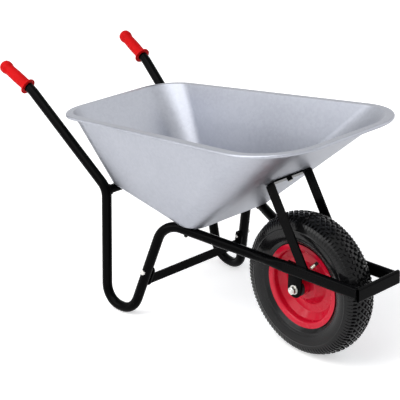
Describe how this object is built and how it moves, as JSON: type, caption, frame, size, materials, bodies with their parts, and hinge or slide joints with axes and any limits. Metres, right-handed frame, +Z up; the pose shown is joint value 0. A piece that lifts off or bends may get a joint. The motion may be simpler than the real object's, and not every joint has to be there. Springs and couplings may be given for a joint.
{
  "type": "wheelbarrow",
  "caption": "Garden wheelbarrow with a galvanised steel tray on a bent black tube frame, red grips and a pneumatic front wheel that spins on its axle.",
  "frame": {"origin": "on the ground, under the middle of the whole length", "axes": "+X towards the wheel, +Y to the left of the person pushing, +Z up"},
  "size_m": [1.2314, 0.5386, 0.6365],
  "materials": {
    "galvanised_sheet": "galvanised, semi-gloss",
    "black_paint": "gloss black",
    "red_paint": "gloss red",
    "red_grip": "satin soft plastic",
    "tyre_rubber": "satin black rubber",
    "tube_rubber": "matt rubber",
    "zinc_steel": "zinc plated",
    "bearing_steel": "ground steel",
    "valve_metal": "nickel plated",
    "cap_plastic": "matt black"
  },
  "bodies": {
    "barrow": {"tray": "galvanised_sheet", "left_frame_tube": "black_paint", "right_frame_tube": "black_paint", "front_bumper": "black_paint", "rear_cross_bar": "black_paint", "leg_brace": "black_paint", "tray_support": "black_paint", "left_axle_hanger": "black_paint", "right_axle_hanger": "black_paint", "axle": "zinc_steel", "axle_nuts": "zinc_steel", "axle_washers": "zinc_steel", "axle_spacers": "zinc_steel", "bearing_inner_rings": "bearing_steel", "left_grip": "red_grip", "right_grip": "red_grip", "tray_front_bolts": "zinc_steel", "tray_front_nuts": "black_paint", "tray_rear_bolts": "zinc_steel", "tray_rear_nuts": "black_paint", "brace_bolts": "zinc_steel", "brace_nuts": "black_paint", "support_bolt": "zinc_steel", "support_nut": "black_paint"},
    "wheel": {"tyre": "tyre_rubber", "inner_tube": "tube_rubber", "left_rim_half": "red_paint", "right_rim_half": "red_paint", "hub": "red_paint", "dust_caps": "cap_plastic", "bearing_outer_rings": "bearing_steel", "bearing_balls": "bearing_steel", "valve_stem": "tube_rubber", "valve_cap": "valve_metal"}
  },
  "joints": [
    {"name": "wheel_spin", "type": "hinge", "parent": "barrow", "child": "wheel", "pos_m": [0.38317, 0, 0.195], "axis": [0, 1, 0], "continuous": true}
  ]
}
